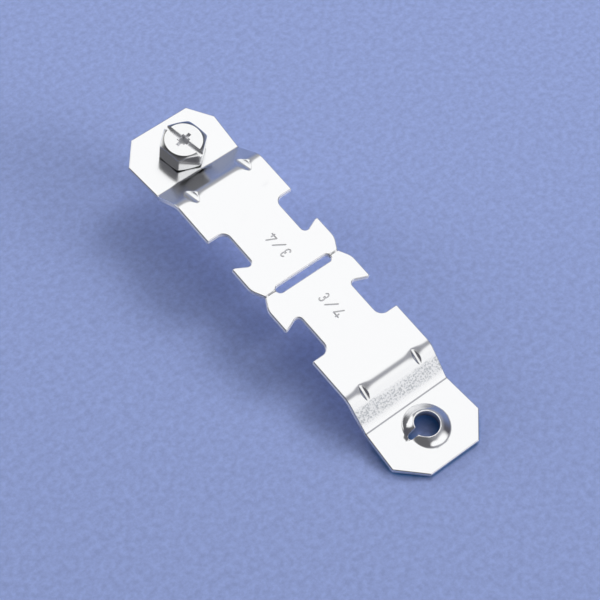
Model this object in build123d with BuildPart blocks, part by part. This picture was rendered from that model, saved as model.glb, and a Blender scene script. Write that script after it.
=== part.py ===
"""Conduit strap: a folding sheet-steel strap, with a hex-head screw standing in one of its two tabs."""
import os
from math import atan2, cos, radians, sin, tan

from build123d import *

# Sheet and outline, mm. Lengths along the strap are measured from the fold.
sheet = 1.2
body_width = 23.0
fold_width = 19.3
neck_width = 13.8
tab_base_width = 22.5
tab_width = 23.9
shoulder = 2.9
hook_tip = 8.9
hook_root = 7.25
hook_flat = 0.7
notch_end = 17.7
body_end = 28.8
wall_run = 6.8
tab_length = 15.1
corner_cut = 5.6
screw_end_width = 15.2
thread_end_width = 13.2
end_offset = 0.5

# Bends and corners, mm
tab_drop = 5.2
upper_bend_radius = 2.5
lower_bend_radius = 1.4
shoulder_radius = 4.0
hook_root_radius = 1.0
notch_radius = 1.9
tip_radius = 0.25

# Slot and score at the fold, mm
slot_length = 14.6
slot_width = 1.9
slot_across = 0.3
slot_along = -0.25
score_width = 0.7
score_depth = 0.4

# Darts pressed across the upper bends, mm
dart_spacing = 14.2
dart_on_body = 1.2
dart_on_wall = 2.2
groove_radius = 0.8
rib_width = 2.4
rib_reach = 3.4

# Holes and the single-thread impression, mm and degrees
hole_from_wall = 6.0
hole_offset = 0.3
clear_radius = 3.4
bore_radius = 2.55
crest_radius = 3.4
skirt_radius = 6.0
ring_wall = 0.5
ring_gap = 8.0
ring_steps = 12
thread_pitch = 1.27
thread_start = 0.1
slit_width = 1.25
slit_reach = 4.9

# Screw, mm and degrees
shank_radius = 3.17
screw_length = 15.9
tip_chamfer = 0.75
neck_radius = 2.7
neck_past_sheet = 0.6
head_flats = 9.53
head_height = 4.9
head_top_radius = 4.45
head_slope = 30.0
head_foot_radius = 4.7
foot_slope = 35.0
head_turn = 46.0
driver_turn = 11.0
driver_width = 1.15
driver_depth = 1.1
cross_length = 4.2
cross_width = 0.8
recess_side = 2.1
recess_depth = 1.9

# How far cutting shapes pass the metal, mm
overrun = 1.0

# Places along the strap, from the fold
tab_start = body_end + wall_run
half_length = tab_start + tab_length
corner_start = half_length - corner_cut
hole_distance = tab_start + hole_from_wall
middle = sheet / 2
neck_length = sheet + neck_past_sheet

# The strap leans: the end of one tab and the screw's tip touch the ground
below_tab = screw_length - sheet
lean = atan2(below_tab, half_length + hole_distance - (shank_radius - tip_chamfer))
rise = half_length * sin(lean) + (tab_drop + sheet) * cos(lean)
shift = -(tab_drop + middle) * sin(lean)
top = Plane(origin=(0, shift, rise), x_dir=(1, 0, 0), z_dir=(0, -sin(lean), cos(lean)))
side = Plane(origin=top.origin, x_dir=top.y_dir, z_dir=top.x_dir)
wall = atan2(tab_drop, wall_run)


def on_strap(x, y, z):
    """A plane parallel to the strap's top face, at a place given along the strap's own axes."""
    return Plane(origin=top.from_local_coords(Vector(x, y, z)), x_dir=top.x_dir, z_dir=top.z_dir)


def corner(sketch, x, y):
    """The sketch's corner nearest to a place."""
    return sketch.vertices().sort_by_distance((x, y, 0))[0]


def ring_angle(step):
    """The direction of one section of the thread ring, in radians."""
    return radians(180 + ring_gap / 2 + (360 - ring_gap) * step / ring_steps)


# Outline of one quarter, mirrored twice
with BuildSketch() as outline:
    with BuildLine():
        Polyline(
            (0, 0),
            (fold_width / 2, 0),
            (body_width / 2, shoulder),
            (body_width / 2, hook_tip),
            (body_width / 2 - hook_flat, hook_tip),
            (neck_width / 2, hook_root),
            (neck_width / 2, notch_end),
            (body_width / 2, notch_end),
            (body_width / 2, body_end),
            (tab_base_width / 2, tab_start),
            (tab_width / 2, corner_start),
            (tab_width / 2, half_length),
            (0, half_length),
            close=True,
        )
    make_face()
    fillet(corner(outline, body_width / 2, shoulder), shoulder_radius)
    fillet(corner(outline, neck_width / 2, hook_root), hook_root_radius)
    fillet(corner(outline, neck_width / 2, notch_end), notch_radius)
    fillet(corner(outline, body_width / 2, hook_tip), tip_radius)
    fillet(corner(outline, body_width / 2 - hook_flat, hook_tip), tip_radius)
    fillet(corner(outline, body_width / 2, notch_end), tip_radius)
    mirror(about=Plane.YZ)
    mirror(about=Plane.XZ)

    # The four end corners, cut off
    for end, end_width in ((1, screw_end_width), (-1, thread_end_width)):
        for hand in (-1, 1):
            with BuildLine():
                Polyline(
                    (hand * tab_width / 2, end * corner_start),
                    (end_offset + hand * end_width / 2, end * half_length),
                    (end_offset + hand * end_width / 2, end * (half_length + overrun)),
                    (hand * (tab_width / 2 + overrun), end * (half_length + overrun)),
                    (hand * (tab_width / 2 + overrun), end * corner_start),
                    close=True,
                )
            make_face(mode=Mode.SUBTRACT)

# Ribs under the darts, one shape for each bend
knee = body_end - sheet * tan(wall / 2)
foot_y = knee + rib_reach * cos(wall)
foot_z = -sheet - rib_reach * sin(wall)

with BuildPart() as strap:
    # The sheet, drawn along its middle from tab to tab
    with BuildSketch(side):
        with BuildLine():
            FilletPolyline(
                (-half_length - overrun, -tab_drop - middle),
                (-tab_start, -tab_drop - middle),
                (-body_end, -middle),
                (body_end, -middle),
                (tab_start, -tab_drop - middle),
                (half_length + overrun, -tab_drop - middle),
                radius=[lower_bend_radius, upper_bend_radius, upper_bend_radius, lower_bend_radius],
            )
        trace(line_width=sheet)
    extrude(amount=tab_width, both=True)

    # Cut to the outline
    with BuildSketch(on_strap(0, 0, -tab_drop - sheet - overrun)):
        add(outline.sketch)
    extrude(amount=tab_drop + sheet + 2 * overrun, mode=Mode.INTERSECT)

    # Ribs under the upper bends
    for x in (-dart_spacing / 2, dart_spacing / 2):
        for end in (-1, 1):
            with BuildSketch(side.offset(x)):
                with BuildLine():
                    Polyline(
                        (end * (knee - rib_reach), -sheet),
                        (end * foot_y, foot_z),
                        (end * (foot_y + middle * sin(wall)), foot_z + middle * cos(wall)),
                        (end * body_end, -middle),
                        (end * (knee - rib_reach), -middle),
                        close=True,
                    )
                make_face()
            extrude(amount=rib_width / 2, both=True)

    # Grooves pressed into the upper bends
    for x in (-dart_spacing / 2, dart_spacing / 2):
        for end in (-1, 1):
            near = Vector(x, end * (body_end - dart_on_body), 0)
            far = Vector(x, end * (body_end + dart_on_wall * cos(wall)), -dart_on_wall * sin(wall))
            along = top.from_local_coords(far) - top.from_local_coords(near)
            start = top.from_local_coords(near) - along
            bed = Plane(origin=start, x_dir=top.x_dir, z_dir=along)
            lift = groove_radius if bed.y_dir.dot(top.z_dir) > 0 else -groove_radius
            with BuildSketch(bed):
                with Locations((0, lift)):
                    Circle(groove_radius)
            extrude(amount=3 * along.length, mode=Mode.SUBTRACT)

    # Slot through the fold
    with BuildSketch(on_strap(slot_across, slot_along, overrun)):
        SlotOverall(slot_length, slot_width)
    extrude(amount=-sheet - 2 * overrun, mode=Mode.SUBTRACT)

    # Score along the fold
    with BuildSketch(side):
        with BuildLine():
            Polyline(
                (-score_width / 2, overrun),
                (-score_width / 2, 0),
                (0, -score_depth),
                (score_width / 2, 0),
                (score_width / 2, overrun),
                close=True,
            )
        make_face()
    extrude(amount=body_width, both=True, mode=Mode.SUBTRACT)

    # Clearance hole for the screw
    with BuildSketch(on_strap(hole_offset, hole_distance, overrun - tab_drop)):
        Circle(clear_radius)
    extrude(amount=-sheet - 2 * overrun, mode=Mode.SUBTRACT)

    # Raised single-thread ring round the other hole
    hole = on_strap(hole_offset, -hole_distance, -tab_drop)
    for step in range(ring_steps + 1):
        angle = ring_angle(step)
        height = thread_start + thread_pitch * step / ring_steps
        ray = hole.x_dir * cos(angle) + hole.y_dir * sin(angle)
        with BuildSketch(Plane(origin=hole.origin, x_dir=ray, z_dir=ray.cross(hole.z_dir))):
            with BuildLine():
                Polyline(
                    (bore_radius - overrun / 2, -middle),
                    (bore_radius - overrun / 2, height),
                    (crest_radius, height),
                    (skirt_radius, -middle),
                    close=True,
                )
            make_face()
    loft()

    # Hollow under the ring
    for step in range(ring_steps + 1):
        angle = ring_angle(step)
        height = thread_start + thread_pitch * step / ring_steps - sheet
        ray = hole.x_dir * cos(angle) + hole.y_dir * sin(angle)
        with BuildSketch(Plane(origin=hole.origin, x_dir=ray, z_dir=ray.cross(hole.z_dir))):
            with BuildLine():
                Polyline(
                    (bore_radius - overrun, -middle - sheet),
                    (bore_radius - overrun, height),
                    (crest_radius - ring_wall, height),
                    (skirt_radius - ring_wall, -middle - sheet),
                    close=True,
                )
            make_face()
    loft(mode=Mode.SUBTRACT)

    # Bore and slit of the thread
    with BuildSketch(on_strap(hole_offset, -hole_distance, -tab_drop - sheet - overrun)):
        Circle(bore_radius)
        with Locations((-(slit_reach - slit_width / 2) / 2, 0)):
            SlotCenterToCenter(slit_reach - slit_width / 2, slit_width)
    extrude(amount=sheet + thread_start + thread_pitch + 2 * overrun, mode=Mode.SUBTRACT)

seat = on_strap(hole_offset, hole_distance, -tab_drop)
head_corner = head_flats / 2 / cos(radians(30))
head_edge = head_height - (head_corner + overrun - head_top_radius) * tan(radians(head_slope))
foot_edge = (head_corner + overrun - head_foot_radius) * tan(radians(foot_slope))

with BuildPart() as screw:
    # Hexagonal head, its corners cut to a slope above and below
    with BuildSketch(seat):
        RegularPolygon(head_flats / 2, 6, major_radius=False, rotation=head_turn)
    extrude(amount=head_height)
    with BuildSketch(Plane(origin=seat.origin, x_dir=seat.x_dir, z_dir=-seat.y_dir)):
        with BuildLine():
            Polyline(
                (0, 0),
                (head_foot_radius, 0),
                (head_corner + overrun, foot_edge),
                (head_corner + overrun, head_edge),
                (head_top_radius, head_height),
                (0, head_height),
                close=True,
            )
        make_face()
    revolve(axis=Axis(seat.origin, seat.z_dir), mode=Mode.INTERSECT)

    # Plain neck through the sheet, then the shank
    with BuildSketch(seat):
        Circle(neck_radius)
    extrude(amount=-neck_length)
    with BuildSketch(seat.offset(-neck_length)):
        Circle(shank_radius)
    extrude(amount=neck_length - screw_length)
    tip = screw.faces().sort_by(Axis(seat.origin, seat.z_dir))[0]
    chamfer(tip.edges(), tip_chamfer)

    # Driver slot right across the head
    with BuildSketch(seat.offset(head_height)):
        Rectangle(driver_width, 3 * head_flats, rotation=driver_turn)
    extrude(amount=-driver_depth, mode=Mode.SUBTRACT)

    # Short cross arms and the square recess in the middle
    with BuildSketch(seat.offset(head_height)):
        Rectangle(cross_length, cross_width, rotation=driver_turn)
    extrude(amount=-driver_depth, mode=Mode.SUBTRACT)
    with BuildSketch(seat.offset(head_height)):
        Rectangle(recess_side, recess_side, rotation=driver_turn)
    extrude(amount=-recess_depth, mode=Mode.SUBTRACT)

strap.part.label = "strap"
screw.part.label = "clamp_screw"
os.makedirs("parts", exist_ok=True)
export_step(strap.part, "parts/strap.step")
export_step(screw.part, "parts/clamp_screw.step")
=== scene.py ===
"""Conduit strap: the looks of a folding zinc-plated strap and its clamp screw, in Blender 4.5."""
from math import atan2, cos, pi, radians, sin, tan

import bmesh
import bpy
import numpy as np
from mathutils import Matrix, Vector
from mathutils.geometry import delaunay_2d_cdt
from mathutils.kdtree import KDTree


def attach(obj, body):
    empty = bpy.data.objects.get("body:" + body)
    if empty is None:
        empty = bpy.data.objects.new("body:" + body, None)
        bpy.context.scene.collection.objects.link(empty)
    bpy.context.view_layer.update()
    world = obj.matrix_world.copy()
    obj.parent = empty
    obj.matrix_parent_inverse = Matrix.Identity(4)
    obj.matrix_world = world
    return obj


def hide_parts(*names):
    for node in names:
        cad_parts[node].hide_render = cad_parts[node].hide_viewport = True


bl_info = {
    "name": "Conduit Strap",
    "version": (1, 0, 0),
    "blender": (4, 5, 0),
    "location": "3D View > Sidebar > Strap",
    "description": "Builds a zinc-plated conduit strap with its clamp screw on a plain floor",
    "category": "Add Mesh",
}

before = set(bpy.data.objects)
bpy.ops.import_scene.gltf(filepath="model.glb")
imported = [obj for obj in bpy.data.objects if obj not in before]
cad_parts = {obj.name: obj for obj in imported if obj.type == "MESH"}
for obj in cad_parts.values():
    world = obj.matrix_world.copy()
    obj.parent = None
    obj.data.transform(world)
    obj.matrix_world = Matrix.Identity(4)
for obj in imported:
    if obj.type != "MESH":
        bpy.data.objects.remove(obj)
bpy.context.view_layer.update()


# Settings

def length(name, default, description):
    """A size in metres."""
    return bpy.props.FloatProperty(
        name=name, default=default, description=description, unit="LENGTH", precision=5)


def angle(name, default, description):
    """An angle, given in degrees and kept in radians."""
    return bpy.props.FloatProperty(
        name=name, default=radians(default), description=description, unit="ROTATION")


def number(name, default, description):
    """A plain number."""
    return bpy.props.FloatProperty(name=name, default=default, description=description, precision=4)


def colour(name, default, description):
    """A colour with its alpha."""
    return bpy.props.FloatVectorProperty(
        name=name, default=(*default, 1.0), description=description, subtype="COLOR", size=4,
        min=0.0, max=1.0)


class StrapSizes(bpy.types.PropertyGroup):
    """The sheet's outline and bends, close to the solid's."""
    sheet: length("Sheet", 0.0012, "Thickness of the steel")
    body_width: length("Body width", 0.0230, "Width of the raised flat parts")
    fold_width: length("Fold width", 0.0198, "Width at the fold")
    neck_width: length("Neck width", 0.0138, "Width between the side notches")
    tab_base_width: length("Tab base width", 0.0225, "Width at the foot of the wall")
    tab_width: length("Tab width", 0.0239, "Greatest width of an end tab")
    shoulder: length("Shoulder", 0.0029, "Where the outline reaches the body's width")
    hook_tip: length("Hook tip", 0.0089, "Where the hook ends, from the fold")
    hook_root: length("Hook root", 0.00725, "Where the hook meets the neck")
    hook_longer: length("Hook longer", 0.0005, "How much further one hook reaches than the others")
    hook_flat: length("Hook flat", 0.0007, "Width of the flat at the hook's tip")
    notch_end: length("Notch end", 0.0177, "Where the side notch ends")
    body_end: length("Body end", 0.0288, "Where the raised flat part ends")
    wall_run: length("Wall run", 0.0065, "Length of the stepped wall, seen from above")
    tab_length: length("Tab length", 0.0154, "Length of an end tab")
    corner_cut: length("Corner cut", 0.0056, "How far the cut corners reach from the end")
    screw_end_width: length("Screw end width", 0.0152, "Width of the end by the screw")
    thread_end_width: length("Thread end width", 0.0132, "Width of the end by the threaded hole")
    end_offset: length("End offset", 0.0005, "How far both ends sit to one side")
    tab_drop: length("Tab drop", 0.0052, "How far the tabs lie below the body")
    upper_bend: length("Upper bend", 0.0036, "Radius of the sheet's middle at the upper bends")
    lower_bend: length("Lower bend", 0.0019, "Radius of the sheet's middle at the lower bends")
    shoulder_radius: length("Shoulder radius", 0.004, "Corner radius beside the fold")
    root_radius: length("Hook root radius", 0.001, "Corner radius in the hook")
    notch_radius: length("Notch radius", 0.0019, "Corner radius in the notch")
    tip_radius: length("Tip radius", 0.00033, "Radius of the outline's other corners")
    rim_radius: length("Rim radius", 0.00028, "Rounding of the cut edges")
    slot_length: length("Slot length", 0.0146, "Length of the slot through the fold")
    slot_width: length("Slot width", 0.0019, "Width of the slot through the fold")
    slot_across: length("Slot across", 0.0003, "How far the slot sits to one side")
    slot_along: length("Slot along", -0.00025, "How far the slot sits along the strap")
    score_width: length("Score width", 0.00045, "Width of the score along the fold")
    score_depth: length("Score depth", 0.00036, "Depth of the score along the fold")


class PressedSizes(bpy.types.PropertyGroup):
    """Darts, holes, the single-thread ring and the stamped numerals."""
    dart_spacing: length("Dart spacing", 0.0142, "Distance between the two darts of a bend")
    dart_on_body: length("Dart on body", 0.0012, "How far a dart reaches on to the body")
    dart_on_wall: length("Dart on wall", 0.0024, "How far a dart reaches on to the wall")
    groove_radius: length("Groove radius", 0.00085, "Radius of a dart's bed")
    far_on_body: length("Far dart on body", 0.0020, "The same on the screw's half")
    far_on_wall: length("Far dart on wall", 0.0031, "The same on the screw's half")
    far_aside: length("Far dart aside", 0.0001, "How far a bed on the screw's half lies to one side")
    groove_wide: length("Wide groove radius", 0.0014, "Radius of such a bed's broad side")
    groove_steep: length("Steep groove radius", 0.0011, "Radius of such a bed's steep side")
    dart_blend: length("Dart blend", 0.00008, "Softness of a dart's lips")
    pull: length("Pull", 0.0006, "How far a dart draws the bend on to the body")
    pull_width: length("Pull width", 0.0015, "How far beside a dart the bend is drawn")
    hole_from_wall: length("Hole from wall", 0.0063, "From the wall's foot to the hole's middle")
    hole_offset: length("Hole offset", 0.0003, "How far both holes sit to one side")
    clear_radius: length("Clear radius", 0.0034, "Radius of the screw's clearance hole")
    bore_radius: length("Bore radius", 0.00275, "Radius inside the thread ring")
    bore_edge: length("Bore edge", 0.00014, "Rounding of the ring's inner edge")
    crest_radius: length("Crest radius", 0.00298, "Radius of the thread ring's crest")
    skirt_radius: length("Skirt radius", 0.00505, "Radius of the ring's foot")
    skirt_short: length("Skirt short", 0.0008, "How far the foot draws in at the low end")
    ring_blend: length("Ring blend", 0.00025, "Softness of the ring's foot")
    thread_start: length("Thread start", 0.00025, "Height of the ring's low end")
    boss: length("Boss", 0.00037, "How far the low end soon rises")
    thread_rise: length("Thread rise", 0.0010, "Further rise of the ring in one turn")
    slit_width: length("Slit width", 0.00125, "Width of the slit that parts the ring")
    slit_reach: length("Slit reach", 0.0049, "How far the slit reaches from the middle")
    glyph_height: length("Numeral height", 0.0024, "Height of the stamped numerals")
    glyph_width: length("Numeral width", 0.0016, "Width of a stamped numeral")
    stroke: length("Stroke", 0.00011, "Half the width of a stamped stroke")
    stamp_depth: length("Stamp depth", 0.00005, "Depth of the stamped numerals")


class ScrewSizes(bpy.types.PropertyGroup):
    """The clamp screw's head and its thread, which the solid leaves plain."""
    head_flats: length("Head flats", 0.00953, "Width across the head's flats")
    head_height: length("Head height", 0.0049, "Height of the head")
    head_top: length("Head top", 0.00425, "Radius of the head's flat top")
    head_slope: angle("Head slope", 26.0, "Slope of the cone round the top")
    foot_radius: length("Foot radius", 0.0044, "Radius of the head's foot")
    foot_slope: angle("Foot slope", 28.0, "Slope of the cone round the foot")
    head_turn: angle("Head turn", 40.0, "Direction of one corner, from +X")
    driver_turn: angle("Driver turn", 11.0, "Turn of the slot from the strap's length")
    driver_width: length("Driver width", 0.00115, "Width of the driver slot")
    driver_depth: length("Driver depth", 0.00085, "Depth of the driver slot")
    cross_length: length("Cross length", 0.0042, "Length of the recess's arms")
    cross_width: length("Cross width", 0.0008, "Width of the recess's arms")
    cross_depth: length("Cross depth", 0.0007, "Depth of the recess's arms")
    recess_side: length("Recess side", 0.0021, "Width of the recess's middle")
    recess_depth: length("Recess depth", 0.0019, "Depth of the recess's middle")
    pitch: length("Pitch", 0.00127, "Pitch of the shank's thread")
    shank_radius: length("Shank radius", 0.00317, "Radius of the thread's crest")
    root_radius: length("Root radius", 0.00246, "Radius of the thread's root")
    neck_radius: length("Neck radius", 0.0027, "Radius of the plain neck under the head")
    neck_length: length("Neck length", 0.0018, "Length of the plain neck")
    shank_length: length("Shank length", 0.0159, "Length of the screw below its head")
    chamfer: length("Tip chamfer", 0.00075, "Chamfer of the shank's tip")
    edge_round: length("Edge rounding", 0.00011, "Rounding of the head's edges")


class FinishSettings(bpy.types.PropertyGroup):
    """Colours and surface of the zinc plate."""
    sheet_bright: colour("Sheet, bright", (0.86, 0.865, 0.875), "Zinc where it is cleanest")
    sheet_dull: colour("Sheet, dull", (0.74, 0.75, 0.77), "Zinc where it has dulled")
    screw_bright: colour("Screw, bright", (0.84, 0.845, 0.85), "The screw's zinc where it is cleanest")
    screw_dull: colour("Screw, dull", (0.66, 0.68, 0.70), "The screw's zinc where it has dulled")
    # Painted shade laid in the stamped strokes and the fold's score.
    painted_groove_shade_colour: colour("Stamp", (0.55, 0.55, 0.56), "Bed of the stamped strokes")
    sheet_rough: number("Sheet roughness", 0.18, "Roughness of the sheet's zinc")
    screw_rough: number("Screw roughness", 0.18, "Roughness of the screw's zinc")


class StageSettings(bpy.types.PropertyGroup):
    """Floor, light and camera."""
    floor: colour("Floor", (0.283, 0.352, 0.631), "Plain pale floor")
    floor_size: length("Floor size", 6.0, "Side of the floor")
    key_power: number("Key light", 0.63, "Power of the key light in watts")
    key_size: length("Key light size", 0.21, "Width of the key light")
    key_distance: length("Key distance", 0.5, "Distance of the key light")
    key_azimuth: angle("Key azimuth", 15.0, "Direction of the key light, from +X")
    key_height: angle("Key height", 52.0, "Height of the key light above the floor")
    front_power: number("Front light", 6.8, "Power of the low front light in watts")
    front_size: length("Front light size", 0.5, "Width of the low front light")
    front_distance: length("Front distance", 1.2, "Distance of the low front light")
    front_azimuth: angle("Front azimuth", 300.0, "Direction of the low front light, from +X")
    front_height: angle("Front height", 20.0, "Height of the low front light above the floor")
    back_power: number("Back light", 1.34, "Power of the low back light in watts")
    back_size: length("Back light size", 0.25, "Width of the low back light")
    back_distance: length("Back distance", 0.6, "Distance of the low back light")
    back_azimuth: angle("Back azimuth", 120.0, "Direction of the low back light, from +X")
    back_height: angle("Back height", 20.0, "Height of the low back light above the floor")
    panel: number("Panel level", 1.13, "Brightness of the soft panels")
    camera_x: length("Camera X", -0.16344, "Camera's place")
    camera_y: length("Camera Y", -0.20672, "Camera's place")
    camera_z: length("Camera Z", 0.35979, "Camera's place")
    camera_tilt: angle("Camera tilt", 36.518, "Camera's turn about X")
    camera_roll: angle("Camera roll", 0.654, "Camera's turn about Y")
    camera_pan: angle("Camera pan", -39.232, "Camera's turn about Z")
    camera_lens: number("Camera lens", 122.975, "Focal length in millimetres")


# Small tools for the sheet

def smooth(t):
    """A soft step from 0 to 1."""
    t = np.clip(t, 0.0, 1.0)
    return t * t * (3.0 - 2.0 * t)


def soft_min(a, b, blend):
    """The lesser of two heights, with a rounded corner between them."""
    h = np.clip(0.5 + 0.5 * (b - a) / blend, 0.0, 1.0)
    return b + (a - b) * h - blend * h * (1.0 - h)


def soft_max(a, b, blend):
    """The greater of two heights, with a rounded corner between them."""
    return -soft_min(-a, -b, blend)


def rounded(corners, step, arc_step):
    """A closed outline of short steps from corners given as (x, y, radius)."""
    arcs = []
    for i, (x, y, radius) in enumerate(corners):
        here = np.array((x, y))
        back = np.array(corners[i - 1][:2]) - here
        ahead = np.array(corners[(i + 1) % len(corners)][:2]) - here
        back /= np.linalg.norm(back)
        ahead /= np.linalg.norm(ahead)
        half = np.arccos(np.clip(back @ ahead, -1.0, 1.0)) / 2
        middle = (back + ahead) / np.linalg.norm(back + ahead)
        centre = here + middle * radius / np.sin(half)
        a = here + back * radius / np.tan(half) - centre
        b = here + ahead * radius / np.tan(half) - centre
        sweep = pi - 2 * half
        count = max(3, int(np.ceil(sweep * radius / arc_step)) + 1)
        t = np.linspace(0.0, 1.0, count)[:, None]
        arcs.append(centre + (np.sin((1 - t) * sweep) * a + np.sin(t * sweep) * b) / np.sin(sweep))
    rim = []
    for i, arc in enumerate(arcs):
        rim.append(arc)
        start = arc[-1]
        end = arcs[(i + 1) % len(arcs)][0]
        count = int(np.ceil(np.linalg.norm(end - start) / step))
        t = np.linspace(0.0, 1.0, count + 1)[1:-1, None]
        rim.append(start + (end - start) * t)
    return np.vstack(rim)


def offset(rim, distance):
    """A closed outline moved to its left by a distance."""
    ahead = np.roll(rim, -1, axis=0) - rim
    ahead /= np.linalg.norm(ahead, axis=1)[:, None]
    normal = np.column_stack((-ahead[:, 1], ahead[:, 0]))
    normal = normal + np.roll(normal, 1, axis=0)
    normal /= np.linalg.norm(normal, axis=1)[:, None]
    return rim + normal * distance


def outward(rim):
    """The direction out of the metal at each place of an outline that has the metal on its left."""
    return rim - offset(rim, 1.0)


def inside(places, rims):
    """Which places lie inside an odd number of outlines."""
    hits = np.zeros(len(places), int)
    x, y = places[:, 0], places[:, 1]
    for rim in rims:
        for (ax, ay), (bx, by) in zip(rim, np.roll(rim, -1, axis=0)):
            if ay != by:
                spans = (ay > y) != (by > y)
                hits += spans & (x < ax + (y - ay) / (by - ay) * (bx - ax))
    return hits % 2 == 1


def grid(patches):
    """Points of a grid, with each later patch in place of the earlier ones under it.

    A patch is given as its two sides, its two ends and the spacing across and along.
    """
    kept = np.zeros((0, 2))
    for x0, x1, y0, y1, dx, dy in patches:
        clear = ((kept[:, 0] < x0 - dx) | (kept[:, 0] > x1 + dx)
                 | (kept[:, 1] < y0 - dy) | (kept[:, 1] > y1 + dy))
        xs = np.linspace(x0, x1, max(2, round((x1 - x0) / dx) + 1))
        ys = np.linspace(y0, y1, max(2, round((y1 - y0) / dy) + 1))
        gx, gy = np.meshgrid(xs, ys)
        kept = np.vstack((kept[clear], np.column_stack((gx.ravel(), gy.ravel()))))
    return kept


# The sheet's form

SLOPE_STEP = 0.00001

class Sheet:
    """The strap's surface as heights over its own plane, in metres."""

    def __init__(self, s, p):
        self.s = s
        self.p = p
        self.wall = atan2(s.tab_drop, s.wall_run)
        self.tab_start = s.body_end + s.wall_run
        self.half_length = self.tab_start + s.tab_length
        self.hole = self.tab_start + p.hole_from_wall
        self.glyphs = [*numerals(p, 1.0), *numerals(p, -1.0)]

    def bends(self, y):
        """Height of the bent sheet without its pressings."""
        s = self.s
        a = np.abs(y)
        half = s.sheet / 2 * tan(self.wall / 2)
        upper = s.upper_bend + s.sheet / 2
        lower = s.lower_bend - s.sheet / 2
        start = s.body_end + half - upper * tan(self.wall / 2)
        leave = start + upper * sin(self.wall)
        end = self.tab_start + half + lower * tan(self.wall / 2)
        reach = end - lower * sin(self.wall)
        crown = -upper + np.sqrt(np.maximum(upper ** 2 - np.clip(a - start, 0, upper) ** 2, 0))
        foot = -s.tab_drop + lower - np.sqrt(np.maximum(lower ** 2 - np.clip(end - a, 0, lower) ** 2, 0))
        slope = -upper * (1 - cos(self.wall)) - (a - leave) * tan(self.wall)
        zones = [a < start, a < leave, a < reach, a < end]
        return np.select(zones, [0.0 * a, crown, slope, foot], -s.tab_drop)

    def drawn(self, x, y):
        """Height of the bent sheet, its upper bends drawn in beside the darts."""
        s, p = self.s, self.p
        reach = 0.8 * p.pull_width
        across = np.abs(x) - p.dart_spacing / 2
        along = np.abs(y) - s.body_end + 0.3 * p.pull_width
        pull = p.pull * np.exp(-(across / p.pull_width) ** 2 - (along / reach) ** 2)
        return self.bends(np.abs(y) + pull)

    def darts(self, x, y):
        """Height of the darts' beds, which is above the sheet away from them."""
        s, p = self.s, self.p
        far = y > 0
        across = x - np.copysign(p.dart_spacing / 2, x) - p.far_aside * far
        on_body = np.where(far, p.far_on_body, p.dart_on_body)
        on_wall = np.where(far, p.far_on_wall, p.dart_on_wall)
        fall = on_wall * sin(self.wall) / (on_body + on_wall * cos(self.wall))
        groove = np.where(far, np.where(across < 0, p.groove_wide, p.groove_steep), p.groove_radius)
        bed = across ** 2 / (2 * groove) - (np.abs(y) - s.body_end + on_body) * fall
        return np.where(np.abs(y) < self.tab_start, bed, s.sheet)

    def ring(self, x, y):
        """Height of the thread ring above its tab."""
        p = self.p
        climb, draw_in = 0.15, 0.2
        u = x - p.hole_offset
        v = y + self.hole
        r = np.hypot(u, v)
        turn = np.mod(np.arctan2(v, u) - pi, 2 * pi) / (2 * pi)
        over_slit = smooth(v / p.slit_width + 0.5)
        turn = np.where((u < 0) & (np.abs(v) < p.slit_width / 2), over_slit, turn)
        crest = p.thread_start + p.boss * smooth(turn / climb) + p.thread_rise * turn
        foot = p.skirt_radius - p.skirt_short * smooth(1.0 - turn / draw_in)
        out = np.maximum(r - p.crest_radius, 0.0) / (foot - p.crest_radius)
        rise = soft_max(crest * (1.0 - 0.5 * out - 0.5 * out ** 2), 0.0 * r, p.ring_blend)
        return np.where(y < -self.tab_start, rise, 0.0)

    def stamps(self, x, y):
        """How deep in a stamped stroke each place is, from 0 to 1."""
        p = self.p
        depth = np.zeros_like(x)
        for line in self.glyphs:
            for (ax, ay), (bx, by) in zip(line[:-1], line[1:]):
                ex, ey = bx - ax, by - ay
                t = np.clip(((x - ax) * ex + (y - ay) * ey) / (ex * ex + ey * ey), 0, 1)
                gap = np.hypot(x - ax - t * ex, y - ay - t * ey)
                depth = np.maximum(depth, smooth((p.stroke * 1.5 - gap) / p.stroke))
        return depth

    def score(self, y):
        """Depth of the score along the fold."""
        s = self.s
        return s.score_depth * smooth(1.2 - np.abs(y) / (s.score_width / 2))

    def pressed(self, x, y):
        """Height of the bent sheet with its darts."""
        return soft_min(self.drawn(x, y), self.darts(x, y), self.p.dart_blend)

    def top(self, x, y):
        """Height of the top face."""
        z = self.pressed(x, y) + self.ring(x, y)
        return z - self.score(y) - self.p.stamp_depth * self.stamps(x, y)

    def top_normal(self, x, y):
        """Direction of the top face."""
        dx = (self.top(x + SLOPE_STEP, y) - self.top(x - SLOPE_STEP, y)) / (2 * SLOPE_STEP)
        dy = (self.top(x, y + SLOPE_STEP) - self.top(x, y - SLOPE_STEP)) / (2 * SLOPE_STEP)
        n = np.column_stack((-dx, -dy, np.ones_like(dx)))
        return n / np.linalg.norm(n, axis=1)[:, None]

    def under(self, x, y):
        """Place of the underside below each place of the sheet."""
        sheet = self.s.sheet
        ring_below = 0.35
        slope = (self.bends(y + SLOPE_STEP) - self.bends(y - SLOPE_STEP)) / (2 * SLOPE_STEP)
        size = np.hypot(slope, 1.0)
        press = self.pressed(x, y) - self.bends(y)
        z = self.bends(y) - sheet / size + self.ring(x, y) * ring_below + press
        return np.column_stack((x, y + slope / size * sheet, z))


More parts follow.
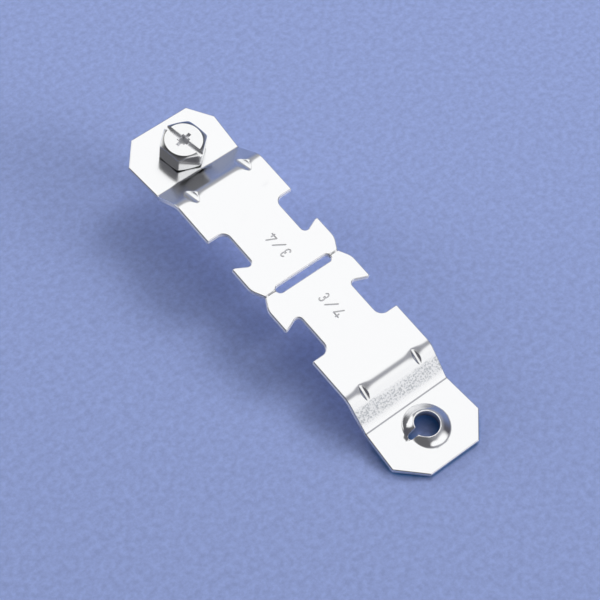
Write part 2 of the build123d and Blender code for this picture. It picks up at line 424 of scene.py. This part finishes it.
def numerals(p, half):
    """Strokes of the trade size on one half: 1 for the screw's half, -1 for the other."""
    def arc(cx, cy, r, start, end):
        turns = np.radians(np.linspace(start, end, 12))
        return np.column_stack((cx + r * np.cos(turns), cy + r * np.sin(turns)))

    three = [arc(0.42, 0.73, 0.27, 150, -90), arc(0.42, 0.27, 0.29, 90, -150)]
    bar = [np.array([(0.02, 0.0), (0.98, 1.0)])]
    four = [np.array([(0.68, 1.0), (0.05, 0.14), (1.0, 0.14)]), np.array([(0.70, 0.38), (0.72, 0.0)])]
    if half > 0:
        places = ((0.0003, 0.0060), (0.0004, 0.00825), (0.0001, 0.0105))
    else:
        places = ((0.00015, -0.00743), (0.0003, -0.0096), (0.0003, -0.0120))
    lines = []
    for (x, y), glyph in zip(places, (three, bar, four)):
        for line in glyph:
            along = (line[:, 0] - 0.5) * p.glyph_width
            up = (line[:, 1] - 0.5) * p.glyph_height
            lines.append(np.column_stack((x - half * up, y + half * along)))
    return lines


def strap_outline(form):
    """Corners of the strap seen from above, anticlockwise."""
    s = form.s
    side = [
        (s.fold_width / 2, 0.0, s.tip_radius),
        (s.body_width / 2, s.shoulder, s.shoulder_radius),
        (s.body_width / 2, s.hook_tip, s.tip_radius),
        (s.body_width / 2 - s.hook_flat, s.hook_tip, s.tip_radius),
        (s.neck_width / 2, s.hook_root, s.root_radius),
        (s.neck_width / 2, s.notch_end, s.notch_radius),
        (s.body_width / 2, s.notch_end, s.tip_radius),
        (s.body_width / 2, s.body_end, s.root_radius),
        (s.tab_base_width / 2, form.tab_start, s.root_radius),
        (s.tab_width / 2, form.half_length - s.corner_cut, s.tip_radius),
    ]
    far, near = (
        [(s.end_offset + hand * width / 2, y, s.tip_radius) for hand in (1, -1)]
        for width, y in ((s.screw_end_width, form.half_length), (s.thread_end_width, -form.half_length))
    )
    left_up = [(-x, y + s.hook_longer * (y == s.hook_tip), r) for x, y, r in reversed(side)]
    left_down = [(-x, -y, r) for x, y, r in side[1:]]
    right_down = [(x, -y, r) for x, y, r in reversed(side[1:])]
    return side + far + left_up + left_down + near[::-1] + right_down


def disc(x, y, radius, step):
    """A round hole's outline, clockwise, so that the metal is on its left."""
    turns = np.linspace(0, -2 * pi, round(2 * pi * radius / step), endpoint=False)
    return np.column_stack((x + radius * np.cos(turns), y + radius * np.sin(turns)))


def long_slot(x, y, size, width, step):
    """A slot's outline with round ends, clockwise."""
    reach = (size - width) / 2
    count = round(pi * width / 2 / step)
    right = np.linspace(pi / 2, -pi / 2, count)
    left = np.linspace(-pi / 2, -3 * pi / 2, count)
    straight = np.linspace(-reach, reach, round(size / step))[1:-1]
    return np.vstack((
        np.column_stack((x + reach + width / 2 * np.cos(right), y + width / 2 * np.sin(right))),
        np.column_stack((x - straight, np.full_like(straight, y - width / 2))),
        np.column_stack((x - reach + width / 2 * np.cos(left), y + width / 2 * np.sin(left))),
        np.column_stack((x + straight, np.full_like(straight, y + width / 2))),
    ))


def bore_outline(p, hole, step):
    """The threaded hole with its slit, clockwise."""
    half = p.slit_width / 2
    open_turn = np.arcsin(half / p.bore_radius)
    count = round(2 * pi * p.bore_radius / step)
    round_part = np.linspace(pi - open_turn, open_turn - pi, count)
    circle = np.column_stack((p.bore_radius * np.cos(round_part), p.bore_radius * np.sin(round_part)))
    centre = -(p.slit_reach - half)
    straight = np.linspace(circle[-1][0], centre, round((p.slit_reach - p.bore_radius) / step))[1:-1]
    cap = np.linspace(-pi / 2, -3 * pi / 2, round(pi * half / step) + 2)
    slit = np.vstack((
        np.column_stack((straight, np.full_like(straight, -half))),
        np.column_stack((centre + half * np.cos(cap), half * np.sin(cap))),
        np.column_stack((straight[::-1], np.full_like(straight, half))),
    ))
    return np.vstack((circle, slit)) + np.array((p.hole_offset, -hole))


def on_ground(form, sc):
    """The strap's lean as it rests, and its rise and shift, as a matrix."""
    s = form.s
    tip = sc.shank_radius - sc.chamfer
    span = form.half_length + form.tab_start + form.p.hole_from_wall - tip
    lean = atan2(sc.shank_length - s.sheet, span)
    rise = form.half_length * sin(lean) + (s.tab_drop + s.sheet) * cos(lean)
    shift = -(s.tab_drop + s.sheet / 2) * sin(lean)
    return Matrix.Translation((0, shift, rise)) @ Matrix.Rotation(lean, 4, "X")


def sheet_points(form):
    """Grid points for the sheet's faces, close where it is bent, pressed or stamped."""
    s, p = form.s, form.p
    wide = s.tab_width / 2
    coarse, fair, fine, by_foot, by_ring = 0.0009, 0.0006, 0.00013, 0.00012, 0.00017
    by_dart, by_stamp, by_score = 0.0001, 0.000095, 0.00009
    bend_reach, foot_reach, score_reach = 0.0015, 0.0009, 0.00045
    beside, before, after = 0.0013, 0.0018, 0.0032
    zones = [
        (-wide, wide, s.body_end - bend_reach, s.body_end + bend_reach, fair, fine),
        (-wide, wide, form.tab_start - foot_reach, form.tab_start + foot_reach, fair, by_foot),
    ]
    for x in (-p.dart_spacing / 2, p.dart_spacing / 2):
        zones.append((x - beside, x + beside, s.body_end - before, s.body_end + after, by_dart, fine))
    zones.append((-0.0017, 0.0025, 0.0043, 0.0131, by_stamp, by_stamp))
    patches = [(-wide, wide, -form.half_length, form.half_length, coarse, coarse)]
    for end in (1, -1):
        for x0, x1, start, stop, dx, dy in zones:
            low, high = sorted((end * start, end * stop))
            patches.append((x0, x1, low, high, dx, dy))
    patches.append((-wide, wide, -score_reach, score_reach, fair, by_score))
    x, y, out = p.hole_offset, -form.hole, p.skirt_radius
    patches.append((x - out, x + out, y - out, y + out, by_ring, by_ring))
    return grid(patches)


def away_from(places, rims, distance):
    """Places that keep a distance from all outlines."""
    tree = KDTree(sum(len(rim) for rim in rims))
    index = 0
    for rim in rims:
        for x, y in rim:
            tree.insert((x, y, 0), index)
            index += 1
    tree.balance()
    return np.array([tree.find((x, y, 0))[2] > distance for x, y in places])


def sheet_triangles(flat, inner):
    """Triangles between the points of a face, anticlockwise, with none over its holes."""
    edges, first = [], 0
    for rim in inner:
        count = len(rim)
        edges += [(first + i, first + (i + 1) % count) for i in range(count)]
        first += count
    made = delaunay_2d_cdt([Vector(q) for q in flat * 1000], edges, [], 0, 1e-6, True)
    origin = [ids[0] if ids else None for ids in made[3]]
    if None in origin or len(made[0]) != len(flat):
        raise RuntimeError("the sheet's outlines cross")
    tris = np.array([[origin[i] for i in face] for face in made[2]])
    tris = tris[inside(flat[tris].mean(axis=1), inner)]
    a, b, c = flat[tris[:, 0]], flat[tris[:, 1]], flat[tris[:, 2]]
    turn = (b[:, 0] - a[:, 0]) * (c[:, 1] - a[:, 1]) - (b[:, 1] - a[:, 1]) * (c[:, 0] - a[:, 0])
    tris[turn < 0] = tris[turn < 0][:, ::-1]
    return tris


def build_strap(form, sc):
    """The strap's mesh: two faces of the sheet and the rounded cut edges between them."""
    s, p = form.s, form.p
    step, arc_step, slot_step, rim_clear = 0.0003, 0.00012, 0.00025, 0.00016
    # The bore's cut wall gets painted shade, darkened in colour.
    under_cut, painted_bore_shade = 0.4, 0.85
    rims = [
        rounded(strap_outline(form), step, arc_step),
        disc(p.hole_offset, form.hole, p.clear_radius, step),
        long_slot(s.slot_across, s.slot_along, s.slot_length, s.slot_width, slot_step),
        bore_outline(p, form.hole, step),
    ]
    roundings = [s.rim_radius, s.rim_radius, s.rim_radius, p.bore_edge]
    inner = [offset(rim, rounding) for rim, rounding in zip(rims, roundings)]
    points = sheet_points(form)
    points = points[inside(points, inner)]
    points = points[away_from(points, inner, rim_clear)]

    flat = np.vstack(inner + [points])
    tris = sheet_triangles(flat, inner)
    x, y = flat[:, 0], flat[:, 1]
    top = np.column_stack((x, y, form.top(x, y)))
    count = len(flat)
    places = [top, form.under(x, y)]
    faces = tris.tolist() + (tris[:, ::-1] + count).tolist()
    normals = [form.top_normal(x, y), np.zeros((count, 3))]
    cut = [np.zeros(count), np.full(count, under_cut)]
    # How much painted shade each vertex takes.
    grime = [np.zeros(2 * count)]
    total = 2 * count
    first = 0
    for rim, ring, rim_r in zip(rims, inner, roundings):
        n = len(ring)
        out = np.column_stack((outward(rim), np.zeros(n)))
        up = form.top_normal(ring[:, 0], ring[:, 1])
        plain = sheared_share(form, rim[:, 1])
        crown = top[first:first + n]
        loops = [np.arange(first, first + n)]
        for turned in (30, 60, 90):
            c, d = cos(radians(turned)), sin(radians(turned))
            places.append(crown + out * rim_r * d - up * rim_r * (1 - c))
            normals.append(out * d + up * c)
            cut.append(max(0.0, d - c) * plain)
            grime.append(np.zeros(n))
            loops.append(np.arange(total, total + n))
            total += n
        places.append(form.under(rim[:, 0], rim[:, 1]) + up * rim_r)
        normals.append(out)
        cut.append(plain)
        # Painted shade on the bore's cut wall.
        grime.append(np.full(n, painted_bore_shade if ring is inner[-1] else 0.0))
        loops.append(np.arange(total, total + n))
        total += n
        loops.append(np.arange(count + first, count + first + n))
        for one, two in zip(loops[:-1], loops[1:]):
            faces += np.column_stack((one, two, np.roll(two, -1), np.roll(one, -1))).tolist()
        first += n
    places = np.vstack(places)
    mesh = bpy.data.meshes.new("strap_sheet")
    mesh.from_pydata(places.tolist(), [], faces)
    mesh.validate()
    mesh.polygons.foreach_set("use_smooth", [True] * len(mesh.polygons))
    x, y = places[:, 0], places[:, 1]
    # Painted shade in the stamped strokes and the fold's score.
    mark(mesh, "stamp", np.maximum(form.stamps(x, y), form.score(y) / s.score_depth))
    mark(mesh, "grain", grain_band(form, y))
    mark(mesh, "wall", wall_share(form, y) - ring_share(form, x, y))
    mark(mesh, "cut", np.concatenate(cut))
    # Painted shade on the bore's wall.
    mark(mesh, "grime", np.concatenate(grime))
    set_normals(mesh, np.vstack(normals))
    mesh.transform(on_ground(form, sc))
    return mesh


def grain_band(form, y):
    """Where the wall's stretched face is grainy, from 0 to 1."""
    start = form.s.body_end + 0.0022
    end = form.s.body_end + 0.0053
    edge = 0.0004
    a = -y
    return smooth((a - start) / edge) * smooth((end - a) / edge)


def wall_share(form, y):
    """Where the sheet is bent down and its plate duller, from 0 to 1."""
    edge = 0.001
    a = np.abs(y)
    return smooth((a - form.s.body_end) / edge) * smooth((form.tab_start - a) / edge)


def sheared_share(form, y):
    """How plain the sheared steel of the cut edges shows: more on the body than on the tabs."""
    return 0.15 + 0.85 * smooth((form.tab_start - np.abs(y)) / 0.004)


def ring_share(form, x, y):
    """Where the thread ring has been pressed and rubbed bright, from 0 to 1."""
    r = np.hypot(x - form.p.hole_offset, y + form.hole)
    return smooth((form.p.skirt_radius + 0.0003 - r) / 0.0006)


def mark(mesh, name, values):
    """Keeps one number for each vertex, for the materials."""
    layer = mesh.attributes.new(name, "FLOAT", "POINT")
    layer.data.foreach_set("value", np.asarray(values, np.float32))


def set_normals(mesh, normals):
    """Gives the vertices that have a true direction that direction, and the rest the mesh's own."""
    own = np.zeros(len(mesh.vertices) * 3)
    mesh.vertices.foreach_get("normal", own)
    own = own.reshape(-1, 3)
    length_of = np.linalg.norm(normals, axis=1)
    known = length_of > 0.5
    own[known] = normals[known] / length_of[known][:, None]
    mesh.normals_split_custom_set_from_vertices(own.tolist())


# The screw

def hexagon(sc, turns):
    """Radius of the head's sides in each direction from a corner, with the corners just turned off."""
    across = sc.head_flats / 2 / np.cos(np.mod(turns, pi / 3) - pi / 6)
    return soft_min(across, sc.head_flats / 2 / cos(pi / 6) - sc.edge_round, sc.edge_round)


def head_solid(sc):
    """The hexagon head with its top cone and foot cone, before the driver is cut."""
    fine = np.radians((
        0.0, 1.0, 2.0, 4.0, 8.0, 13.0, 18.0, 24.0, 30.0, 36.0, 42.0, 47.0, 52.0, 56.0, 58.0, 59.0))
    turns = np.concatenate([fine + side * pi / 3 for side in range(6)])
    side = hexagon(sc, turns)
    top_edge = sc.head_height - (side - sc.head_top) * tan(sc.head_slope)
    foot_edge = (side - sc.foot_radius) * tan(sc.foot_slope)
    none = np.zeros_like(side)
    corners = [
        (none, none), (none + sc.foot_radius, none), (side, foot_edge),
        (side, top_edge), (none + sc.head_top, none + sc.head_height), (none, none + sc.head_height),
    ]
    rings = []
    for back, here, ahead in zip(corners[:-2], corners[1:-1], corners[2:]):
        here, back, ahead = np.array(here), np.array(back), np.array(ahead)
        one = here + (back - here) * sc.edge_round / np.hypot(*(back - here))
        two = here + (ahead - here) * sc.edge_round / np.hypot(*(ahead - here))
        rings += [one, here / 2 + (one + two) / 4, two]
    bm = bmesh.new()
    rows = []
    for radius, height in rings:
        x, y = radius * np.cos(turns + sc.head_turn), radius * np.sin(turns + sc.head_turn)
        rows.append([bm.verts.new(place) for place in zip(x, y, height)])
    for low, high in zip(rows[:-1], rows[1:]):
        for i in range(len(turns)):
            bm.faces.new((low[i - 1], low[i], high[i], high[i - 1]))
    bm.faces.new(rows[0][::-1])
    bm.faces.new(rows[-1])
    return bm


def box(x, y, z, turn, place):
    """A cutting block as a new object, standing on its place."""
    bm = bmesh.new()
    bmesh.ops.create_cube(bm, size=1.0)
    bmesh.ops.scale(bm, vec=(x, y, z), verts=bm.verts)
    bmesh.ops.translate(bm, vec=(0, 0, z / 2), verts=bm.verts)
    bm.transform(Matrix.Translation((0, 0, place)) @ Matrix.Rotation(turn, 4, "Z"))
    return as_object(bm, "cutting block")


def as_object(bm, name):
    """An object in the scene from a bmesh."""
    mesh = bpy.data.meshes.new(name)
    bm.to_mesh(mesh)
    bm.free()
    made = bpy.data.objects.new(name, mesh)
    bpy.context.scene.collection.objects.link(made)
    return made


def build_head(form, sc):
    """The screw's head with its slot and recess, placed on the tab."""
    whole = as_object(head_solid(sc), "whole head")
    over = 0.001
    cutters = [
        box(x, y, depth + over, sc.driver_turn, sc.head_height - depth) for x, y, depth in (
            (sc.driver_width, 3 * sc.head_flats, sc.driver_depth),
            (sc.cross_length, sc.cross_width, sc.cross_depth),
            (sc.recess_side, sc.recess_side, sc.recess_depth),
        )
    ]
    for cutter in cutters:
        rule = whole.modifiers.new("cut", "BOOLEAN")
        rule.operation = "DIFFERENCE"
        rule.solver = "EXACT"
        rule.object = cutter
    mesh = bpy.data.meshes.new_from_object(whole.evaluated_get(bpy.context.evaluated_depsgraph_get()))
    for spare in (whole, *cutters):
        bpy.data.objects.remove(spare)
    places = np.array([v.co for v in mesh.vertices])
    radius = np.hypot(places[:, 0], places[:, 1])
    below = sc.head_height - places[:, 2]
    # Painted shade: the head's foot, where it meets the tab, and a band round its top edge are darkened in
    # colour.
    touch, near, painted_edge_shade, recess_cut = 0.00001, 0.0002, 0.85, 0.6
    foot = places[:, 2] < (radius - sc.foot_radius) * tan(sc.foot_slope) + touch
    arris = (below > 3 * touch) & (below < near / 2) & (np.abs(radius - sc.head_top) < near)
    recess = (below > near) & (radius < sc.head_top - near) & ~foot
    # Painted shade at the head's foot and along its top edge.
    mark(mesh, "grime", 1.0 * foot + painted_edge_shade * arris)
    mark(mesh, "cut", recess_cut * recess)
    lead_normals(mesh, radians(40))
    seat = Matrix.Translation((form.p.hole_offset, form.hole, -form.s.tab_drop))
    mesh.transform(on_ground(form, sc) @ seat)
    return mesh


def lead_normals(mesh, limit):
    """Gives each corner the direction of the greater faces round it, so that flats stay flat."""
    faces = mesh.polygons
    faces.foreach_set("use_smooth", [True] * len(faces))
    around = [[] for _ in mesh.vertices]
    for face in faces:
        for vertex in face.vertices:
            around[vertex].append((face.normal.copy(), face.area))
    corners = []
    for face in faces:
        for vertex in face.vertices:
            total = Vector((0, 0, 0))
            for normal, area in around[vertex]:
                if normal.angle(face.normal, 0.0) < limit:
                    total += normal * area
            corners.append(total.normalized())
    mesh.normals_split_custom_set(corners)


def build_shank(form, sc):
    """The screw's threaded shank and its plain neck, as rings of points from the head to the tip."""
    around, in_pitch = 64, 14
    crest_flat, flank_wide = 0.12, 0.70
    count = round(sc.shank_length / sc.pitch * in_pitch)
    depth = np.linspace(0.0, sc.shank_length, count + 1)[:, None]
    turns = np.linspace(0.0, 2 * pi, around, endpoint=False)[None, :]
    phase = np.mod(depth / sc.pitch + turns / (2 * pi), 1.0)
    flank = np.clip((np.abs(2 * phase - 1) - crest_flat) / flank_wide, 0.0, 1.0)
    thread = sc.root_radius + (sc.shank_radius - sc.root_radius) * flank
    run_out = smooth((depth - sc.neck_length) / sc.pitch + 0.5)
    radius = sc.neck_radius + (thread - sc.neck_radius) * run_out
    radius = np.minimum(radius, sc.shank_radius - sc.chamfer + sc.shank_length - depth)
    x = form.p.hole_offset + radius * np.cos(turns)
    y = form.hole + radius * np.sin(turns)
    z = np.broadcast_to(-form.s.tab_drop - depth, radius.shape)
    places = np.column_stack((x.ravel(), y.ravel(), z.ravel())).tolist()
    faces = []
    last = count * around
    for row in range(0, last, around):
        for i in range(around):
            on = (i + 1) % around
            faces.append((row + i, row + around + i, row + around + on, row + on))
    faces.append(tuple(range(last + around - 1, last - 1, -1)))
    mesh = bpy.data.meshes.new("screw_shank")
    mesh.from_pydata(places, [], faces)
    mesh.polygons.foreach_set("use_smooth", [True] * len(mesh.polygons))
    mesh.set_sharp_from_angle(angle=radians(50))
    mesh.transform(on_ground(form, sc))
    return mesh


# Materials

def feed(tree, made, inputs):
    """Gives a node's inputs their values, or links them to other nodes' outputs."""
    for name, value in inputs.items():
        if isinstance(value, bpy.types.NodeSocket):
            tree.links.new(value, made.inputs[name])
        else:
            made.inputs[name].default_value = value


def node(tree, kind, place, inputs=None, **values):
    """Adds a node with its settings and its inputs."""
    made = tree.nodes.new(kind)
    made.location = place
    for name, value in values.items():
        setattr(made, name, value)
    feed(tree, made, inputs or {})
    return made


def noise(tree, place, vector, scale, detail, roughness=0.5):
    """A noise texture's value."""
    inputs = {"Vector": vector, "Scale": scale, "Detail": detail, "Roughness": roughness}
    return node(tree, "ShaderNodeTexNoise", place, inputs).outputs["Fac"]


def ramp(tree, place, value, start, end, kind="LINEAR"):
    """How far a value has come from start to end, from 0 to 1."""
    inputs = {"Value": value, "From Min": start, "From Max": end}
    return node(tree, "ShaderNodeMapRange", place, inputs, interpolation_type=kind).outputs["Result"]


def blend(tree, place, share, a, b, kind="MIX"):
    """Two colours, mixed by the share of the second."""
    inputs = {"Factor": share, "A": a, "B": b}
    return node(tree, "ShaderNodeMix", place, inputs, data_type="RGBA", blend_type=kind).outputs["Result"]


def maths(tree, place, operation, *values):
    """The result of one step of arithmetic."""
    inputs = dict(enumerate(values))
    return node(tree, "ShaderNodeMath", place, inputs, operation=operation).outputs["Value"]


def zinc_group():
    """Clouding, grain and cut faces of bright zinc plate, with painted shade in the stamped strokes, the
    score and the crevices, from an object's own place.
    """
    tree = bpy.data.node_groups.new("zinc plate surface", "ShaderNodeTree")
    for way, kind, names in (
        ("INPUT", "NodeSocketColor", ("Bright", "Dull", "Stamp Color")),
        ("INPUT", "NodeSocketFloat", ("Roughness", "Grain", "Wall", "Cut", "Stamp", "Grime")),
        ("OUTPUT", "NodeSocketColor", ("Color",)),
        ("OUTPUT", "NodeSocketFloat", ("Roughness", "Metallic", "Height")),
    ):
        for name in names:
            tree.interface.new_socket(name=name, in_out=way, socket_type=kind)
    given = node(tree, "NodeGroupInput", (-900, 0)).outputs
    place = node(tree, "ShaderNodeTexCoord", (-900, -300)).outputs["Object"]
    speck_shade = (0.54, 0.56, 0.58, 1)
    cut_shade = (0.86, 0.86, 0.89, 1)
    # Painted shade for the head's foot, its top edge and the bore's wall.
    painted_shade_colour = (0.10, 0.105, 0.10, 1)

    clouds = noise(tree, (-600, 300), place, 260.0, 5.0, 0.6)
    dulling = ramp(tree, (-400, 300), clouds, 0.66, 1.1)
    plate = blend(tree, (-100, 300), dulling, given["Bright"], given["Dull"])
    crystals = noise(tree, (-600, 0), place, 2500.0, 2.5)
    speck = ramp(tree, (-400, 0), crystals, 0.46, 0.62)
    grainy = maths(tree, (-100, 50), "MULTIPLY", speck, given["Grain"])
    speckled = blend(tree, (150, 250), grainy, plate, speck_shade)
    # Painted shade darkens the stamped strokes and the fold's score.
    stamped = blend(tree, (400, 250), given["Stamp"], speckled, given["Stamp Color"])
    sheared = blend(tree, (650, 250), given["Cut"], stamped, cut_shade)
    # Painted shade darkens crevices, the head's top edge and the bore's wall.
    with_painted_shade = blend(tree, (900, 250), given["Grime"], sheared, painted_shade_colour)

    rough = given["Roughness"]
    for x, source, rougher in (
        (-100, dulling, 0.10), (150, given["Grain"], 0.08), (350, given["Wall"], 0.07),
        (550, given["Cut"], 0.30),
    ):
        rough = maths(tree, (x, -150), "MULTIPLY_ADD", source, rougher, rough)
    metal = maths(tree, (550, -350), "MULTIPLY_ADD", given["Cut"], -0.85, 1.0)

    waves = noise(tree, (-600, -450), place, 900.0, 2.0)
    fine = maths(tree, (-300, -450), "MULTIPLY", waves, 0.06)
    height = maths(tree, (150, -400), "MULTIPLY_ADD", grainy, 0.35, fine)
    results = {"Color": with_painted_shade, "Roughness": rough, "Metallic": metal, "Height": height}
    node(tree, "NodeGroupOutput", (1150, 0), results)
    return tree


def zinc_material(name, bright, dull, painted_groove_shade_colour, rough):
    """Bright zinc plate on steel, from the zinc group that both materials share."""
    made = bpy.data.materials.new(name)
    made.use_nodes = True
    tree = made.node_tree
    inputs = {"Bright": bright, "Dull": dull, "Stamp Color": painted_groove_shade_colour, "Roughness": rough}
    # Two of these attributes carry painted shade: one in the stamped strokes and score, one in crevices, on
    # the head's top edge and on the bore's wall.
    for row, share in enumerate(("grain", "wall", "cut", "stamp", "grime")):
        kept = node(tree, "ShaderNodeAttribute", (-800, -150 * (row + 1)), attribute_name=share)
        inputs[share.capitalize()] = kept.outputs["Fac"]
    group = bpy.data.node_groups.get("zinc plate surface") or zinc_group()
    surface = node(tree, "ShaderNodeGroup", (-500, 0), node_tree=group)
    feed(tree, surface, inputs)
    relief = {"Strength": 1.0, "Distance": 0.00003, "Height": surface.outputs["Height"]}
    bump = node(tree, "ShaderNodeBump", (-250, -250), relief)
    feed(tree, tree.nodes["Principled BSDF"], {
        "Base Color": surface.outputs["Color"],
        "Roughness": surface.outputs["Roughness"],
        "Metallic": surface.outputs["Metallic"],
        "Normal": bump.outputs["Normal"],
    })
    return made


def show(mesh, name, material, body, node_name):
    """Puts a mesh in the scene, riding on a body in place of a solid."""
    piece = bpy.data.objects.new(name, mesh)
    bpy.context.scene.collection.objects.link(piece)
    mesh.materials.append(material)
    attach(piece, body)
    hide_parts(node_name)


# Stage

def floor_material(shade):
    """Plain pale paper with a faint tooth, and painted shade of deep blue where the sheet closes it in."""
    made = bpy.data.materials.new("plain floor")
    made.use_nodes = True
    tree = made.node_tree
    # Painted shade: deep blue laid on the floor where the sheet closes it in.
    painted_shade_blue, open_to_sky = (0.16, 0.46, 0.62, 1), (1, 1, 1, 1)
    darker, paler = (tuple(min(1.0, c * times) for c in shade[:3]) + (1.0,) for times in (0.90, 1.10))
    place = node(tree, "ShaderNodeTexCoord", (-900, 0)).outputs["Object"]
    tooth = noise(tree, (-700, 0), place, 700.0, 4.0, 0.7)
    share = ramp(tree, (-500, 0), tooth, 0.35, 0.65)
    paper = blend(tree, (-300, 0), share, darker, paler)
    # The ambient occlusion picks out where that painted shade goes.
    around = node(tree, "ShaderNodeAmbientOcclusion", (-500, -300), {"Distance": 0.004})
    open_share = ramp(tree, (-300, -300), around.outputs["AO"], 0.38, 0.68)
    painted_shade_tint = blend(tree, (-400, 300), open_share, painted_shade_blue, open_to_sky)
    feed(tree, tree.nodes["Principled BSDF"], {
        "Base Color": blend(tree, (-200, 200), 1.0, paper, painted_shade_tint, "MULTIPLY"),
        "Roughness": 0.9,
        "Specular IOR Level": 0.1,
    })
    return made


def along(tree, place, sky, direction):
    """How far the sky's direction points along another."""
    inputs = {0: sky, 1: direction}
    return node(tree, "ShaderNodeVectorMath", place, inputs, operation="DOT_PRODUCT").outputs["Value"]


def soft_panel(tree, sky, direction, full, fade, y):
    """A round soft panel in the sky: 1 inside, 0 beyond its fading edge."""
    near = along(tree, (-700, y), sky, direction)
    return ramp(tree, (-500, y), near, cos(radians(fade)), cos(radians(full)), "SMOOTHSTEP")


def studio_world(level):
    """A dim studio with four soft panels, and a blue backdrop low behind the strap."""
    world = bpy.data.worlds.new("studio")
    bpy.context.scene.world = world
    world.use_nodes = True
    tree = world.node_tree
    dark_side, light_side = (0.14, 0.14, 0.15, 1), (0.40, 0.405, 0.44, 1)
    beside, blue = (0.10, 0.10, 0.12, 1), (0.20, 0.26, 0.47, 1)
    sky = node(tree, "ShaderNodeTexCoord", (-1000, 0)).outputs["Generated"]
    split = node(tree, "ShaderNodeSeparateXYZ", (-800, 300), {"Vector": sky}).outputs
    side = ramp(tree, (-500, 400), split["X"], -0.15, 0.45, "SMOOTHSTEP")
    room = blend(tree, (-250, 400), side, dark_side, light_side)
    far = along(tree, (-800, 600), sky, (0.64, 0.77, 0.0))
    behind = ramp(tree, (-500, 650), far, 0.2, 0.8, "SMOOTHSTEP")
    lift = maths(tree, (-700, 150), "MULTIPLY_ADD", behind, 0.3, split["Z"])
    low = ramp(tree, (-500, 150), lift, 0.82, 0.50, "SMOOTHSTEP")
    backdrop = blend(tree, (-250, 650), behind, beside, blue)
    last = blend(tree, (0, 300), low, room, backdrop)
    for direction, full, fade, y in (
        ((0.3937, 0.2557, 0.8829), 15.0, 28.0, -100),
        ((-0.1982, 0.7948, 0.5736), 17.0, 25.0, -350),
        ((0.4008, -0.7867, 0.4695), 16.0, 30.0, -600),
        ((0.0485, -0.6930, 0.7193), 8.0, 15.0, -850),
    ):
        panel = soft_panel(tree, sky, direction, full, fade, y)
        last = blend(tree, (250, y), panel, last, (level, level, level, 1))
    tree.links.new(last, tree.nodes["Background"].inputs["Color"])


def soft_lamp(name, power, size, distance, azimuth, height):
    """A round lamp for the floor's light and shadow, turned to the strap and left out of its reflections."""
    lamp = bpy.data.lights.new(name, "AREA")
    lamp.shape = "DISK"
    lamp.size = size
    lamp.energy = power
    made = bpy.data.objects.new(name, lamp)
    toward = Vector((cos(azimuth) * cos(height), sin(azimuth) * cos(height), sin(height)))
    made.location = toward * distance
    made.rotation_euler = toward.to_track_quat("Z", "Y").to_euler()
    made.visible_glossy = False
    bpy.context.scene.collection.objects.link(made)


class STRAP_OT_stage(bpy.types.Operator):
    """Makes the floor, the light and the camera"""
    bl_idname = "strap.stage"
    bl_label = "Stage"

    def execute(self, context):
        g = context.scene.stage_settings
        half = g.floor_size / 2
        mesh = bpy.data.meshes.new("floor")
        corners = [(-half, -half, 0), (half, -half, 0), (half, half, 0), (-half, half, 0)]
        mesh.from_pydata(corners, [], [(0, 1, 2, 3)])
        floor = bpy.data.objects.new("floor", mesh)
        context.scene.collection.objects.link(floor)
        mesh.materials.append(floor_material(g.floor))

        kinds = ("power", "size", "distance", "azimuth", "height")
        for name in ("key", "front", "back"):
            soft_lamp(name, *[getattr(g, name + "_" + kind) for kind in kinds])
        studio_world(g.panel)

        eye = bpy.data.cameras.new("camera")
        eye.lens = g.camera_lens
        eye.sensor_width = 36.0
        eye.clip_start = 0.01
        camera = bpy.data.objects.new("camera", eye)
        camera.location = (g.camera_x, g.camera_y, g.camera_z)
        camera.rotation_euler = (g.camera_tilt, g.camera_roll, g.camera_pan)
        context.scene.collection.objects.link(camera)
        context.scene.camera = camera
        context.scene.view_settings.view_transform = "Standard"
        return {"FINISHED"}


class STRAP_OT_strap(bpy.types.Operator):
    """Makes the pressed sheet-steel strap"""
    bl_idname = "strap.strap"
    bl_label = "Strap"

    def execute(self, context):
        scene = context.scene
        f = scene.finish_settings
        mesh = build_strap(Sheet(scene.strap_sizes, scene.pressed_sizes), scene.screw_sizes)
        zinc = zinc_material("zinc sheet", f.sheet_bright, f.sheet_dull, f.painted_groove_shade_colour, f.sheet_rough)
        show(mesh, "strap_sheet", zinc, "strap", "strap")
        return {"FINISHED"}


class STRAP_OT_screw(bpy.types.Operator):
    """Makes the clamp screw"""
    bl_idname = "strap.screw"
    bl_label = "Clamp screw"

    def execute(self, context):
        scene = context.scene
        f = scene.finish_settings
        form = Sheet(scene.strap_sizes, scene.pressed_sizes)
        head = build_head(form, scene.screw_sizes)
        shank = build_shank(form, scene.screw_sizes)
        zinc = zinc_material("zinc screw", f.screw_bright, f.screw_dull, f.painted_groove_shade_colour, f.screw_rough)
        show(head, "screw_head", zinc, "screw", "clamp_screw")
        show(shank, "screw_shank", zinc, "screw", "clamp_screw")
        return {"FINISHED"}


class STRAP_PT_panel(bpy.types.Panel):
    """Lists the steps in the sidebar"""
    bl_idname = "STRAP_PT_panel"
    bl_label = "Conduit Strap"
    bl_space_type = "VIEW_3D"
    bl_region_type = "UI"
    bl_category = "Strap"

    def draw(self, context):
        column = self.layout.column()
        column.operator("strap.stage")
        column.operator("strap.strap")
        column.operator("strap.screw")


CLASSES = (
    StrapSizes, PressedSizes, ScrewSizes, FinishSettings, StageSettings,
    STRAP_OT_stage, STRAP_OT_strap, STRAP_OT_screw, STRAP_PT_panel,
)
SETTINGS = {
    "strap_sizes": StrapSizes,
    "pressed_sizes": PressedSizes,
    "screw_sizes": ScrewSizes,
    "finish_settings": FinishSettings,
    "stage_settings": StageSettings,
}


def register():
    for made in CLASSES:
        bpy.utils.register_class(made)
    for name, group in SETTINGS.items():
        setattr(bpy.types.Scene, name, bpy.props.PointerProperty(type=group))


def unregister():
    for name in SETTINGS:
        delattr(bpy.types.Scene, name)
    for made in reversed(CLASSES):
        bpy.utils.unregister_class(made)


def main():
    register()
    bpy.ops.strap.stage()
    bpy.ops.strap.strap()
    bpy.ops.strap.screw()


if __name__ == "__main__":
    main()
